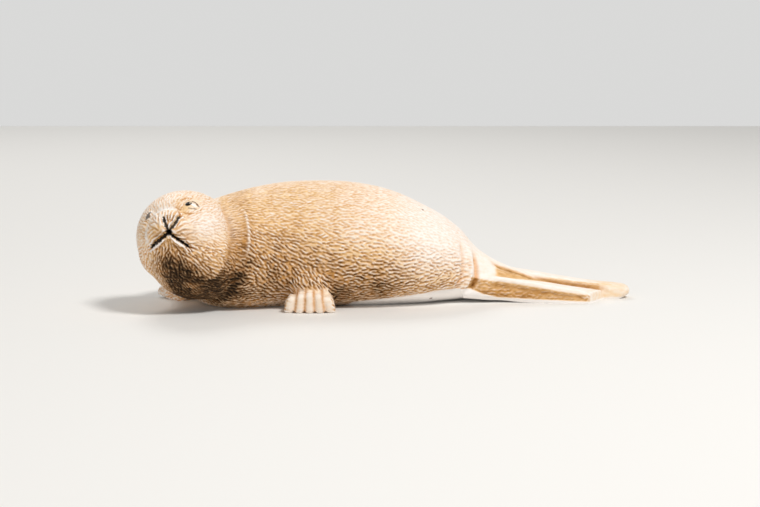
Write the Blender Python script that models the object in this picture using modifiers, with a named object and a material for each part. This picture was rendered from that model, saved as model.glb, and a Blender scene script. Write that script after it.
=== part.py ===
"""A seal figurine in one piece: a seal pup that lies on its belly and looks round to its left.

Frame: metres, +Z up. The trunk lies along X with the tail at +X, and the seal's left side faces -Y.
The origin is the middle of the footprint of the whole figure, on the surface that it rests on.
Sizes below are in millimetres.
"""

import math

import bmesh
import bpy
import numpy as np
from mathutils import Matrix, Vector
from mathutils.bvhtree import BVHTree

MM = 0.001

# Trunk stations from the tail stalk to the neck:
# along X, sideways Y, half width, top of the back, underside (below 0 is cut off flat by the table).
TRUNK = (
    (33.0, 0.3, 1.5, 3.6, 0.9),
    (28.0, 0.2, 2.6, 6.0, 0.8),
    (24.0, 0.1, 3.5, 7.5, 0.6),
    (20.6, 0.0, 4.5, 9.4, 0.5),
    (18.4, 0.0, 5.3, 11.1, 0.4),
    (16.2, 0.0, 6.7, 13.8, 0.3),
    (14.6, 0.0, 7.8, 15.3, 0.1),
    (11.4, 0.0, 9.8, 17.6, -0.1),
    (8.2, 0.0, 11.3, 19.3, -0.5),
    (3.4, 0.0, 12.9, 21.6, -0.8),
    (-1.4, 0.0, 13.8, 23.1, -1.1),
    (-7.6, 0.0, 14.3, 24.1, -1.3),
    (-14.6, -0.3, 14.2, 24.3, -1.3),
    (-20.5, -1.1, 14.0, 24.0, -1.2),
    (-25.8, -3.2, 13.4, 23.1, -1.0),
    (-30.6, -6.4, 12.0, 21.9, -0.8),
    (-35.0, -10.4, 10.0, 20.8, 0.5),
)
TRUNK_ROUNDNESS = 2.25
WIDEST_SHARE = 0.42

# Chest, under the neck.
CHEST_PLACE = (-30.4, -3.8, 9.7)
CHEST_RADII = (13.6, 12.6, 9.3)
THROAT_PLACE = (-36.9, -12.2, 10.8)
THROAT_RADII = (9.8, 10.3, 8.8)

# Head: an ovoid with a muzzle and two cheeks, turned to the seal's left and tipped a little.
HEAD_PLACE = (-39.2, -13.0, 14.6)
HEAD_RADII = (9.6, 9.2, 10.1)
HEAD_TURN = 69.0
HEAD_LIFT = 12.0
HEAD_TILT = -6.0
MUZZLE_PLACE = (0.6, 0.4, 7.0)
MUZZLE_RADII = (5.1, 4.8, 4.9)
JAW_PLACE = (0.4, -4.2, 4.6)
JAW_RADII = (5.4, 5.6, 5.7)
CHEEK_PLACE = (3.7, -3.0, 1.0)
CHEEK_RADII = (5.2, 5.4, 6.6)

# Fore paws: five toes side by side. A paw's turn is from -X towards -Y.
# At the tips the top is lower and the underside higher by these two amounts.
# Towards the top the toes gather, each by so much for every toe between it and the middle one.
NEAR_PAW_TIP = (-14.6, -18.0)
NEAR_PAW_TURN = 90.0
FAR_PAW_TIP = (-43.4, 6.4)
FAR_PAW_TURN = -50.0
TOE_COUNT = 5
TOE_WIDTH = 2.05
TOE_PITCH = 1.95
TOE_HEIGHT = 4.6
OUTER_TOE_DROP = 0.8
NEAR_TOE_TIPS = (0.6, 0.8)
FAR_TOE_TIPS = (1.5, 1.5)
TOE_LENGTH = 8.0
TOE_ROUNDING = 0.85
TOE_SPLAY = 3.0
TOE_GATHER = 0.42
FOREARM_SET_BACK = 7.2
FOREARM_HEIGHT = 4.4
FOREARM_RADII = (3.7, 5.6, 6.0)
FOREARM_LEAN = 35.0

# Hind flippers, laid side by side: along X, sideways Y, half width, top, underside.
NEAR_FLIPPER = (
    (16.0, -2.4, 3.6, 7.2, 0.8),
    (21.0, -2.5, 3.0, 5.8, 0.4),
    (25.0, -2.5, 2.6, 5.2, 0.2),
    (31.0, -2.7, 2.7, 4.2, -0.6),
    (37.0, -2.9, 2.8, 3.1, -1.1),
    (43.0, -3.1, 2.8, 2.2, -1.6),
)
FAR_FLIPPER = (
    (16.0, 1.4, 2.4, 8.4, 0.7),
    (21.0, 2.0, 2.6, 7.2, 0.4),
    (25.0, 2.3, 2.7, 6.4, 0.2),
    (31.0, 2.5, 2.8, 5.4, -0.1),
    (37.0, 2.6, 2.9, 4.3, -0.6),
    (43.0, 2.6, 2.9, 3.4, -1.2),
    (47.0, 2.6, 2.8, 3.0, -0.8),
    (49.2, 2.6, 2.3, 2.7, 0.3),
    (50.3, 2.6, 1.2, 2.1, 0.9),
)
FLIPPER_ROUNDNESS = 3.6
FLIPPER_CUT_SLOPE = 0.6

# Carved marks are grooves (depth above 0) or ridges (depth below 0): depth, half width.
# Those of the muzzle are placed by side and up from its middle, as seen from straight in front of the nose.
NOSE_PIT = (1.3, -0.5)
NOSE_ARMS = ((0.0, 2.5), (3.0, 2.8))
NOSE_CUT = (0.60, 0.42)
NOSTRIL = ((2.35, 1.3), (2.0, 0.2))
NOSTRIL_CUT = (0.30, 0.50)
MOUTH_CORNERS = ((-3.7, -3.2), (4.3, -3.5))
MOUTH_CUT = (0.60, 0.44)
LIP_DROP = 1.0
LIP_REACH = (0.25, 0.92)
LIP_RIDGE = (-0.32, 0.42)
MUZZLE_FOOT_SHARE = 0.95
MUZZLE_FOOT_ARC = (175.0, -20.0)
MUZZLE_FOOT_CUT = (0.40, 0.75)

# Eyes, by side and up from the middle of the head: the line of each socket, and of the eyeball in it.
SOCKETS = (((3.3, 5.6), (5.4, 5.0)), ((-4.3, 3.1), (-3.6, 4.3)))
SOCKET_CUT = (0.36, 1.25)
EYEBALL_SHARE = 0.4
EYEBALL_RIDGE = (-0.46, 0.80)

# Folds of the neck, on the left: arcs about the head, by radius and two angles up from +X, and their cuts.
NECK_FOLDS = (
    (9.4, 44.0, -34.0, 0.38, 0.80),
    (11.2, 32.0, -28.0, 0.24, 1.20),
    (12.7, 27.0, -22.0, -0.46, 0.44),
)

# Rolled edge of the coat before the tail: its line, by X and share of the trunk's height.
# Its marks stand before and behind that line by a step along X, with depth and half width.
WAIST_LINE = ((16.9, 0.93), (17.5, 0.64), (17.3, 0.42), (16.3, 0.24), (15.2, 0.12))
WAIST_ROLL = ((-1.6, 0.34, 0.60), (0.0, -0.50, 0.54), (1.2, 0.56, 0.52))

# Edge of the coat above the smooth underside: along X, and share of the trunk's height.
COAT_EDGE = ((-8.0, 0.06), (4.0, 0.12), (15.0, 0.20))
COAT_EDGE_CUT = (0.26, 0.55)

# Bead along the nearer flipper and the hollow below it, by share of its height.
# Then the cleft between the flippers, along X and sideways.
FLIPPER_MARKS_REACH = (20.0, 42.0)
FLIPPER_BEAD = (0.90, -0.30, 0.45)
FLIPPER_HOLLOW = (0.62, 0.25, 0.60)
CLEFT = ((21.0, -2.3), (25.0, -1.7), (31.0, -0.7), (46.0, -0.2))
CLEFT_CUT = (0.42, 0.75)
MARK_POINTS = 9
FADE = 2.5
NECK_FADE = 3.0
CAST_FROM = 60.0

# Finish of the mesh.
BODY_VOXEL = 0.5
FINE_VOXEL = 0.26
BLEND_PASSES = 30
SOFTEN_PASSES = 4
TRIANGLES = 12000
IVORY = (0.80, 0.62, 0.42, 1.0)
IVORY_ROUGHNESS = 0.5


def smooth_rows(rows, count):
    """Catmull-Rom values between the rows of a station table."""
    rows = np.array(rows, float)
    padded = np.vstack([2 * rows[0] - rows[1], rows, 2 * rows[-1] - rows[-2]])
    places = np.linspace(0, len(rows) - 1, count)
    made = []
    for place in places:
        i = min(int(place), len(rows) - 2)
        t = place - i
        a, b, c, d = padded[i : i + 4]
        made.append(
            0.5 * (2 * b + (c - a) * t + (2 * a - 5 * b + 4 * c - d) * t**2 + (3 * b - a - 3 * c + d) * t**3)
        )
    return np.array(made)


def superellipse(angle, roundness):
    """Point of a unit superellipse at this angle."""
    power = 2 / roundness
    x, y = math.cos(angle), math.sin(angle)
    return math.copysign(abs(x) ** power, x), math.copysign(abs(y) ** power, y)


def loft(name, stations, roundness, rings=60, around=48, widest=0.5, cut_slope=0.0):
    """A closed skin over sections that stand across the line of the stations."""
    rows = smooth_rows(stations, rings)
    line = rows[:, :2]
    along = np.gradient(line, axis=0)
    along /= np.linalg.norm(along, axis=1)[:, None]
    mesh = bmesh.new()
    loops = []
    for (x, y, half_width, top, bottom), (ax, ay) in zip(rows, along):
        level = bottom + (top - bottom) * widest
        loop = []
        for k in range(around):
            across, height = superellipse(2 * math.pi * k / around, roundness)
            z = level + (top - level if height > 0 else level - bottom) * height
            side = half_width * across
            slide = cut_slope * side * (x - rows[0][0]) / (rows[-1][0] - rows[0][0])
            px, py = x - ay * side + slide, y + ax * side
            loop.append(mesh.verts.new((px * MM, py * MM, z * MM)))
        loops.append(loop)
    for first, second in zip(loops, loops[1:]):
        for k in range(around):
            j = (k + 1) % around
            mesh.faces.new((first[k], first[j], second[j], second[k]))
    mesh.faces.new(loops[0][::-1])
    mesh.faces.new(loops[-1])
    bmesh.ops.recalc_face_normals(mesh, faces=mesh.faces)
    return finished(name, mesh)


def finished(name, mesh):
    """An object from a bmesh."""
    data = bpy.data.meshes.new(name)
    mesh.to_mesh(data)
    mesh.free()
    made = bpy.data.objects.new(name, data)
    bpy.context.scene.collection.objects.link(made)
    return made


def ovoid(name, place, radii, turn=None):
    """An ellipsoid with these radii, in a frame given by a 3x3 matrix."""
    mesh = bmesh.new()
    bmesh.ops.create_uvsphere(mesh, u_segments=48, v_segments=32, radius=1.0)
    frame = (turn or Matrix.Identity(3)).to_4x4()
    size = Matrix.Diagonal((*[r * MM for r in radii], 1.0))
    mesh.transform(Matrix.Translation(Vector(place) * MM) @ frame @ size)
    return finished(name, mesh)


def head_frame():
    """Columns: towards the seal's left cheek, up through the crown, and forward through the nose."""
    turn, lift, tilt = (math.radians(a) for a in (HEAD_TURN, HEAD_LIFT, HEAD_TILT))
    forward = Vector((-math.cos(turn) * math.cos(lift), -math.sin(turn) * math.cos(lift), math.sin(lift)))
    level = Vector((0, 0, 1)).cross(forward).normalized()
    upright = forward.cross(level)
    side = level * math.cos(tilt) - upright * math.sin(tilt)
    up = upright * math.cos(tilt) + level * math.sin(tilt)
    return Matrix((side, up, forward)).transposed()


def in_head(point):
    """A point of the head's own frame, in the figure's frame, in millimetres."""
    return Vector(HEAD_PLACE) + head_frame() @ Vector(point)


def head_pieces():
    frame = head_frame()
    made = [
        ovoid("skull", HEAD_PLACE, HEAD_RADII, frame),
        ovoid("muzzle", in_head(MUZZLE_PLACE), MUZZLE_RADII, frame),
        ovoid("jaw", in_head(JAW_PLACE), JAW_RADII, frame),
    ]
    for hand in (-1, 1):
        place = (hand * CHEEK_PLACE[0], *CHEEK_PLACE[1:])
        made.append(ovoid("cheek", in_head(place), CHEEK_RADII, frame))
    return made


def plan_direction(turn):
    """Unit vector in plan, turned from -X towards -Y."""
    turn = math.radians(turn)
    return Vector((-math.cos(turn), -math.sin(turn)))


def paw_pieces(tip, turn, tips):
    """Five toes as rounded blocks, gathered towards the top and pared at the tips."""
    ahead = plan_direction(turn)
    across = Vector((-ahead.y, ahead.x))
    made = []
    for k in range(TOE_COUNT):
        step = k - (TOE_COUNT - 1) / 2
        share = 2 * step / (TOE_COUNT - 1)
        height = TOE_HEIGHT - OUTER_TOE_DROP * share**2
        mesh = bmesh.new()
        bmesh.ops.create_cube(mesh, size=1.0)
        size = Vector((TOE_LENGTH, TOE_WIDTH, height + TOE_ROUNDING)) * MM
        bmesh.ops.scale(mesh, vec=size, verts=mesh.verts)
        for corner in mesh.verts:
            if corner.co.x > 0:
                corner.co.z += (-tips[0] if corner.co.z > 0 else tips[1]) * MM
            if corner.co.z > 0:
                corner.co.y -= TOE_GATHER * step * MM
        bmesh.ops.bevel(
            mesh, geom=mesh.edges, offset=TOE_ROUNDING * MM, segments=4, profile=0.5, affect="EDGES"
        )
        heading = math.atan2(ahead.y, ahead.x) + math.radians(TOE_SPLAY) * step
        middle = Vector(tip) + across * (TOE_PITCH * step) - ahead * (TOE_LENGTH / 2 + 0.5 * share**2)
        place = Vector((middle.x, middle.y, (height - TOE_ROUNDING) / 2)) * MM
        mesh.transform(Matrix.Translation(place) @ Matrix.Rotation(heading, 4, "Z"))
        made.append(finished("toe", mesh))
    return made


def forearm(name, tip, turn, hand):
    """The swell of the limb behind the toes. It leans towards the head; the hand is -1 on the left."""
    place = Vector(tip) - plan_direction(turn) * FOREARM_SET_BACK
    lean = Matrix.Rotation(math.radians(hand * FOREARM_LEAN), 3, "Y")
    frame = Matrix.Rotation(math.radians(turn - 90), 3, "Z") @ lean
    return ovoid(name, (place.x, place.y, FOREARM_HEIGHT), FOREARM_RADII, frame)


def fused(name, pieces, voxel, passes):
    """One skin over overlapping closed pieces, with its junctions smoothed."""
    mesh = bmesh.new()
    for piece in pieces:
        mesh.from_mesh(piece.data)
        bpy.data.objects.remove(piece)
    made = finished(name, mesh)
    skin = made.modifiers.new("one_skin", "REMESH")
    skin.mode = "VOXEL"
    skin.voxel_size = voxel * MM
    soften = made.modifiers.new("soften", "SMOOTH")
    soften.factor = 0.5
    soften.iterations = passes
    return baked(made)


def baked(made):
    """Turns an object's modifiers into its mesh."""
    graph = bpy.context.evaluated_depsgraph_get()
    data = bpy.data.meshes.new_from_object(made.evaluated_get(graph))
    made.modifiers.clear()
    made.data = data
    return made


def vertex_rows(mesh, field):
    """Vertex places or normals as an array with a row for each vertex."""
    rows = np.empty(len(mesh.vertices) * 3)
    mesh.vertices.foreach_get(field, rows)
    return rows.reshape(-1, 3)


def move_vertices(mesh, points):
    mesh.vertices.foreach_set("co", np.ravel(points))
    mesh.update()


def on_skin(tree, start, heading):
    """Where a straight line first meets the figure, or the skin nearest to its start if it passes by."""
    start = Vector(start) * MM
    place = tree.ray_cast(start, Vector(heading))[0] or tree.find_nearest(start)[0]
    return np.array(place) / MM


def face_line(tree, first, last, middle=(0.0, 0.0)):
    """A line drawn on the face, between two places by side and up from this middle."""
    ahead = head_frame().col[2]
    places = np.linspace(first, last, MARK_POINTS) + np.array(middle)
    return [on_skin(tree, in_head((side, up, CAST_FROM)), -ahead) for side, up in places]


def from_the_side(tree, places, hand):
    """A line drawn on the left side (hand -1) or the right side (hand 1), by X and Z."""
    return [on_skin(tree, (x, hand * CAST_FROM, z), (0, -hand, 0)) for x, z in places]


def at_height(stations, x, share):
    """X and Z of a place on a loft, by share of the height of its section there."""
    rows = np.array(sorted(stations))
    top, bottom = (np.interp(x, rows[:, 0], rows[:, k]) for k in (3, 4))
    return x, bottom + share * (top - bottom)


def face_cuts(tree):
    """Nose, mouth, lip, foot of the muzzle and eyes."""
    middle = MUZZLE_PLACE[:2]
    cuts = [(*NOSE_CUT, 0, face_line(tree, NOSE_PIT, arm, middle)) for arm in NOSE_ARMS]
    cuts.append((*NOSTRIL_CUT, 0, face_line(tree, *NOSTRIL, middle)))
    pit, drop = np.array(NOSE_PIT), np.array((0.0, LIP_DROP))
    for corner in MOUTH_CORNERS:
        cuts.append((*MOUTH_CUT, 0, face_line(tree, pit, corner, middle)))
        lip = [pit + (np.array(corner) - pit) * share - drop for share in LIP_REACH]
        cuts.append((*LIP_RIDGE, 0, face_line(tree, *lip, middle)))
    ahead = head_frame().col[2]
    foot = []
    for angle in np.radians(np.linspace(*MUZZLE_FOOT_ARC, MARK_POINTS * 2)):
        side = middle[0] + MUZZLE_RADII[0] * MUZZLE_FOOT_SHARE * math.cos(angle)
        up = middle[1] + MUZZLE_RADII[1] * MUZZLE_FOOT_SHARE * math.sin(angle)
        foot.append(on_skin(tree, in_head((side, up, CAST_FROM)), -ahead))
    cuts.append((*MUZZLE_FOOT_CUT, 0, foot))
    for socket in SOCKETS:
        first, last = np.array(socket)
        centre, reach = (first + last) / 2, (last - first) / 2 * EYEBALL_SHARE
        cuts.append((*SOCKET_CUT, 0, face_line(tree, first, last)))
        cuts.append((*EYEBALL_RIDGE, 0, face_line(tree, centre - reach, centre + reach)))
    return cuts


def body_cuts(tree):
    """Folds of the neck, rolled edge before the tail, edge of the coat below, and the flippers' marks."""
    cuts = []
    for radius, first, last, depth, width in NECK_FOLDS:
        angles = np.radians(np.linspace(first, last, MARK_POINTS))
        x = HEAD_PLACE[0] + radius * np.cos(angles)
        z = HEAD_PLACE[2] + radius * np.sin(angles)
        cuts.append((depth, width, NECK_FADE, from_the_side(tree, zip(x, z), -1)))
    for step, depth, width in WAIST_ROLL:
        places = [at_height(TRUNK, x + step, share) for x, share in smooth_rows(WAIST_LINE, MARK_POINTS)]
        cuts += [(depth, width, FADE, from_the_side(tree, places, hand)) for hand in (-1, 1)]
    edge = [at_height(TRUNK, x, share) for x, share in smooth_rows(COAT_EDGE, MARK_POINTS)]
    cuts.append((*COAT_EDGE_CUT, FADE, from_the_side(tree, edge, -1)))
    for share, depth, width in (FLIPPER_BEAD, FLIPPER_HOLLOW):
        places = [at_height(NEAR_FLIPPER, x, share) for x in np.linspace(*FLIPPER_MARKS_REACH, MARK_POINTS)]
        cuts.append((depth, width, FADE, from_the_side(tree, places, -1)))
    cleft = [on_skin(tree, (x, y, CAST_FROM), (0, 0, -1)) for x, y in smooth_rows(CLEFT, MARK_POINTS)]
    cuts.append((*CLEFT_CUT, FADE, cleft))
    return cuts


def strength_near(points, path, width, fade):
    """1 on a line through a few places, 0 away from it, and weaker within the fade of the line's ends."""
    nearest = np.full(len(points), np.inf)
    walked = np.zeros(len(points))
    length = 0.0
    for a, b in zip(path, path[1:]):
        along = b - a
        size = np.linalg.norm(along)
        share = np.clip((points - a) @ along / size**2, 0, 1)
        away = np.linalg.norm(points - a - share[:, None] * along, axis=1)
        closer = away < nearest
        nearest = np.where(closer, away, nearest)
        walked = np.where(closer, length + share * size, walked)
        length += size
    ends = np.clip(np.minimum(walked, length - walked) / fade, 0, 1) if fade else 1
    return np.exp(-((nearest / width) ** 2)) * ends


def carve(made):
    """Cuts the grooves and raises the ridges, square to the skin."""
    tree = BVHTree.FromObject(made, bpy.context.evaluated_depsgraph_get())
    points = vertex_rows(made.data, "co") / MM
    lift = np.zeros(len(points))
    for depth, width, fade, path in face_cuts(tree) + body_cuts(tree):
        lift -= depth * strength_near(points, path, width, fade)
    move_vertices(made.data, (points + vertex_rows(made.data, "normal") * lift[:, None]) * MM)


def settle(made):
    """Cuts the underside flat at the table, and puts the origin in the middle of the footprint."""
    points = vertex_rows(made.data, "co")
    points[:, 2] = np.maximum(points[:, 2], 0)
    points[:, :2] -= (points[:, :2].min(axis=0) + points[:, :2].max(axis=0)) / 2
    move_vertices(made.data, points)


def thin_out(made, triangles):
    """Fewer triangles, kept where the form turns most."""
    made.data.calc_loop_triangles()
    thinner = made.modifiers.new("fewer_faces", "DECIMATE")
    thinner.ratio = triangles / len(made.data.loop_triangles)
    thinner.use_collapse_triangulate = True


def ivory():
    """Cream resin that looks like ivory."""
    made = bpy.data.materials.new("seal_ivory")
    made.use_nodes = True
    shader = made.node_tree.nodes["Principled BSDF"]
    shader.inputs["Base Color"].default_value = IVORY
    shader.inputs["Roughness"].default_value = IVORY_ROUGHNESS
    shader.inputs["Metallic"].default_value = 0.0
    return made


def collect(made, name):
    """Moves an object to a collection of this name."""
    home = bpy.data.collections.new(name)
    bpy.context.scene.collection.children.link(home)
    for old in list(made.users_collection):
        old.objects.unlink(made)
    home.objects.link(made)


def clear_scene():
    for old in list(bpy.data.objects):
        bpy.data.objects.remove(old)


def build():
    clear_scene()
    trunk = loft("trunk", TRUNK, TRUNK_ROUNDNESS, widest=WIDEST_SHARE)
    chest = ovoid("chest", CHEST_PLACE, CHEST_RADII)
    throat = ovoid("throat", THROAT_PLACE, THROAT_RADII)
    arms = [forearm("arm", NEAR_PAW_TIP, NEAR_PAW_TURN, -1), forearm("arm", FAR_PAW_TIP, FAR_PAW_TURN, 1)]
    body = fused("body", [trunk, chest, throat, *head_pieces(), *arms], BODY_VOXEL, BLEND_PASSES)
    flippers = [
        loft("flipper", NEAR_FLIPPER, FLIPPER_ROUNDNESS, cut_slope=FLIPPER_CUT_SLOPE),
        loft("flipper", FAR_FLIPPER, FLIPPER_ROUNDNESS),
    ]
    toes = paw_pieces(NEAR_PAW_TIP, NEAR_PAW_TURN, NEAR_TOE_TIPS)
    toes += paw_pieces(FAR_PAW_TIP, FAR_PAW_TURN, FAR_TOE_TIPS)
    seal = fused("seal", [body, *flippers, *toes], FINE_VOXEL, SOFTEN_PASSES)
    carve(seal)
    settle(seal)
    thin_out(seal, TRIANGLES)
    seal.data.materials.append(ivory())
    collect(seal, "seal_figurine")


build()
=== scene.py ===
import math

import bmesh
import bpy
import numpy as np
from mathutils import Matrix, Vector
from mathutils.bvhtree import BVHTree


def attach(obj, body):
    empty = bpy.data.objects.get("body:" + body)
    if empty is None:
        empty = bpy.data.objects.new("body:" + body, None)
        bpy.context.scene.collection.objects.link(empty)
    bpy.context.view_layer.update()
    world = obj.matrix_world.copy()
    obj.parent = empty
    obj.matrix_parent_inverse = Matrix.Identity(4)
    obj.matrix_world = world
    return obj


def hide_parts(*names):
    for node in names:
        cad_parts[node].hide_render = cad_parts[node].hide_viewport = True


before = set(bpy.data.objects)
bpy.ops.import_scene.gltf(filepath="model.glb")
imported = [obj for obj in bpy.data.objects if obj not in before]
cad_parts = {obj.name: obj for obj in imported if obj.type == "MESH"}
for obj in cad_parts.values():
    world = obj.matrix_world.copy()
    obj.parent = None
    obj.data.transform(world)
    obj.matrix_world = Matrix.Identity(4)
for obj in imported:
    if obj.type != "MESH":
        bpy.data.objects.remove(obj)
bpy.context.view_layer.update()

MM = 0.001

# The figure's forms, as in its solid, in millimetres.
# Trunk stations: along X, sideways Y, half width, top of the back, underside.
TRUNK = (
    (33.0, 0.3, 1.5, 3.6, 0.9),
    (28.0, 0.2, 2.6, 6.0, 0.8),
    (24.0, 0.1, 3.5, 7.5, 0.6),
    (20.6, 0.0, 4.5, 9.4, 0.5),
    (18.4, 0.0, 5.3, 11.1, 0.4),
    (16.2, 0.0, 6.7, 13.8, 0.3),
    (14.6, 0.0, 7.8, 15.3, 0.1),
    (11.4, 0.0, 9.8, 17.6, -0.1),
    (8.2, 0.0, 11.3, 19.3, -0.5),
    (3.4, 0.0, 12.9, 21.6, -0.8),
    (-1.4, 0.0, 13.8, 23.1, -1.1),
    (-7.6, 0.0, 14.3, 24.1, -1.3),
    (-14.6, -0.3, 14.2, 24.3, -1.3),
    (-20.5, -1.1, 14.0, 24.0, -1.2),
    (-25.8, -3.2, 13.4, 23.1, -1.0),
    (-30.6, -6.4, 12.0, 21.9, -0.8),
    (-35.0, -10.4, 10.0, 20.8, 0.5),
)
TRUNK_ROUNDNESS = 2.25
WIDEST_SHARE = 0.42
# Place and radii.
CHEST = ((-30.4, -3.8, 9.7), (13.6, 12.6, 9.3))
THROAT = ((-36.9, -12.2, 10.8), (9.8, 10.3, 8.8))
HEAD_PLACE = (-39.2, -13.0, 14.6)
HEAD_RADII = (9.6, 9.2, 10.1)
HEAD_TURN = 69.0
HEAD_LIFT = 12.0
HEAD_TILT = -6.0
MUZZLE_PLACE = (0.6, 0.4, 7.0)
MUZZLE_RADII = (5.1, 4.8, 4.9)
JAW_PLACE = (0.4, -4.2, 4.6)
JAW_RADII = (5.4, 5.6, 5.7)
CHEEK_PLACE = (3.7, -3.0, 1.0)
CHEEK_RADII = (5.2, 5.4, 6.6)
# Paws: X and Y of the toe tips, heading, and how far those tips are pared above and below.
NEAR_PAW = ((-14.6, -18.0), 90.0, (0.6, 0.8))
FAR_PAW = ((-43.4, 6.4), -50.0, (1.5, 1.5))
TOE_COUNT = 5
TOE_WIDTH = 2.05
TOE_PITCH = 1.95
TOE_HEIGHT = 4.6
OUTER_TOE_DROP = 0.8
OUTER_TOE_BACK = 0.5
TOE_LENGTH = 8.0
TOE_ROUNDING = 0.85
TOE_SPLAY = 3.0
TOE_GATHER = 0.42
FOREARM_SET_BACK = 7.2
FOREARM_HEIGHT = 4.4
FOREARM_RADII = (3.7, 5.6, 6.0)
FOREARM_LEAN = 35.0
NEAR_FLIPPER = (
    (16.0, -2.4, 3.6, 7.2, 0.8),
    (21.0, -2.5, 3.0, 5.8, 0.4),
    (25.0, -2.5, 2.6, 5.2, 0.2),
    (31.0, -2.7, 2.7, 4.2, -0.6),
    (37.0, -2.9, 2.8, 3.1, -1.1),
    (43.0, -3.1, 2.8, 2.2, -1.6),
)
FAR_FLIPPER = (
    (16.0, 1.4, 2.4, 8.4, 0.7),
    (21.0, 2.0, 2.6, 7.2, 0.4),
    (25.0, 2.3, 2.7, 6.4, 0.2),
    (31.0, 2.5, 2.8, 5.4, -0.1),
    (37.0, 2.6, 2.9, 4.3, -0.6),
    (43.0, 2.6, 2.9, 3.4, -1.2),
    (47.0, 2.6, 2.8, 3.0, -0.8),
    (49.2, 2.6, 2.3, 2.7, 0.3),
    (50.3, 2.6, 1.2, 2.1, 0.9),
)
FLIPPER_ROUNDNESS = 3.6
FLIPPER_CUT_SLOPE = 0.6

# Carved lines. A cut is its depth, below 0 for a ridge, and its half width.
# The face's lines go by side and up. Those of the muzzle are placed from its middle.
NOSE_PIT = (1.3, -0.5)
NOSE_ARMS = ((0.0, 2.5), (3.0, 2.8))
NOSE_CUT = (0.50, 0.34)
NOSTRIL = ((2.35, 1.3), (2.0, 0.2))
NOSTRIL_CUT = (0.30, 0.45)
MOUTH_CORNERS = ((-3.7, -3.2), (4.3, -3.5))
MOUTH_CUT = (0.62, 0.36)
LIP_DROP = 1.0
LIP_REACH = (0.25, 0.92)
LIP_RIDGE = (-0.32, 0.40)
MUZZLE_FOOT_SHARE = 0.95
MUZZLE_FOOT_ARC = (175.0, -20.0)
MUZZLE_FOOT_CUT = (0.40, 0.75)
SOCKETS = (((3.3, 5.6), (5.4, 5.0)), ((-4.3, 3.1), (-3.6, 4.3)))
SOCKET_CUT = (0.36, 1.25)
EYEBALL_SHARE = 0.4
EYEBALL_RIDGE = (-0.46, 0.80)
# Folds of the neck: radius from the head's middle, first and last angle, depth, half width.
NECK_FOLDS = (
    (9.4, 44.0, -34.0, 0.38, 0.80),
    (11.2, 32.0, -28.0, 0.24, 1.20),
    (12.7, 27.0, -22.0, -0.40, 0.48),
)
# Waist and edge of the coat: X, share of the trunk's height. The roll: step along X, depth, half width.
WAIST_LINE = ((16.9, 0.93), (17.5, 0.64), (17.3, 0.42), (16.3, 0.24), (15.2, 0.12))
WAIST_ROLL = ((-1.6, 0.34, 0.60), (0.0, -0.50, 0.54), (1.2, 0.56, 0.52))
COAT_EDGE = ((-9.0, 0.02), (-6.0, 0.08), (4.0, 0.12), (15.0, 0.20), (17.6, 0.22))
COAT_EDGE_CUT = (0.26, 0.50)
# Bead and hollow along the near flipper: share of its height, depth, half width. Cleft: X, Y.
FLIPPER_MARKS_REACH = (20.0, 42.0)
FLIPPER_BEAD = (0.90, -0.30, 0.45)
FLIPPER_HOLLOW = (0.62, 0.25, 0.60)
CLEFT = ((21.0, -2.3), (25.0, -1.7), (31.0, -0.7), (46.0, -0.2))
CLEFT_CUT = (0.46, 0.70)
MARK_POINTS = 9
FADE = 2.5
NECK_FADE = 3.0
FACE_FADE = 0.5
CAST_FROM = 60.0

BODY_VOXEL = 0.5
BODY_PASSES = 30
SKIN_VOXEL = 0.17
SKIN_PASSES = 9
SPLITS = (-34.0, -22.0, -8.0, 9.0)

# The fur is cut stroke by stroke. Way between rows, length, half width and depth of a stroke.
FLANK_STROKE = (0.70, 1.40, 0.17, 0.27)
BACK_STROKE = (0.64, 1.30, 0.18, 0.13)
HEAD_STROKE = (0.54, 1.30, 0.13, 0.13)
THROAT_STROKE = (0.56, 1.40, 0.15, 0.24)
MUZZLE_STROKE = (0.80, 2.40, 0.18, 0.24)
STROKE_SEED = 7
STROKE_CANDIDATES = 130000
LEAST_COAT = 0.3
SITE_SPREAD = (0.52, 0.80)
# Least and greatest share of those four sizes that one stroke has.
STROKE_SHARES = ((1, 0.6, 0.75, 0.5), (1, 1.25, 1.2, 1.35))
STROKE_SWAY = 13.0
STROKE_BEND = 0.06
STROKE_BELOW = 1.0
# A stroke starts sharp and runs out slowly: the share of its length where it gains strength.
STROKE_START = 0.3
STROKE_GAIN = 1.25
# The raised edge beside a stroke: its height as a share of the depth, and its place in half widths.
BURR = 0.35
BURR_PLACE = 2.0
STAIN_WIDTH = 1.15
STAIN_SHARE = (0.6, 1.0)
# Painted highlight on the upper edge beside a stroke: the mean and the spread of its strength.
HIGHLIGHT_SHARE = (0.55, 0.5)
CURVATURE_PASSES = 3
FINER_REACH = 0.9
FINE_BESIDE_PUPIL = 0.4
FULL_HOLLOW = 1.6
# Curvature at which the crest colour is full. The painted highlight beside a stroke is coloured as such a
# crest.
EDGE_CREST = 0.7
BASE_WASH = 0.03
CELL = 1.7

# Where the fur's lie turns down, on the near side: X and Z, reach along both, and amount.
SIDE_TURNS = (((-23.0, 9.0), (8.0, 7.5), 0.75), ((-3.0, 8.0), (10.0, 8.0), 0.22))
WRIST_TURN = ((-1.0, 6.0), (5.0, 3.5), (0.1, -0.6, -1.3))
NEAR_SIDE = (0.0, 6.0)
FACE_CENTRE_AHEAD = 11.0
FACE_LEAN = 0.15
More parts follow.
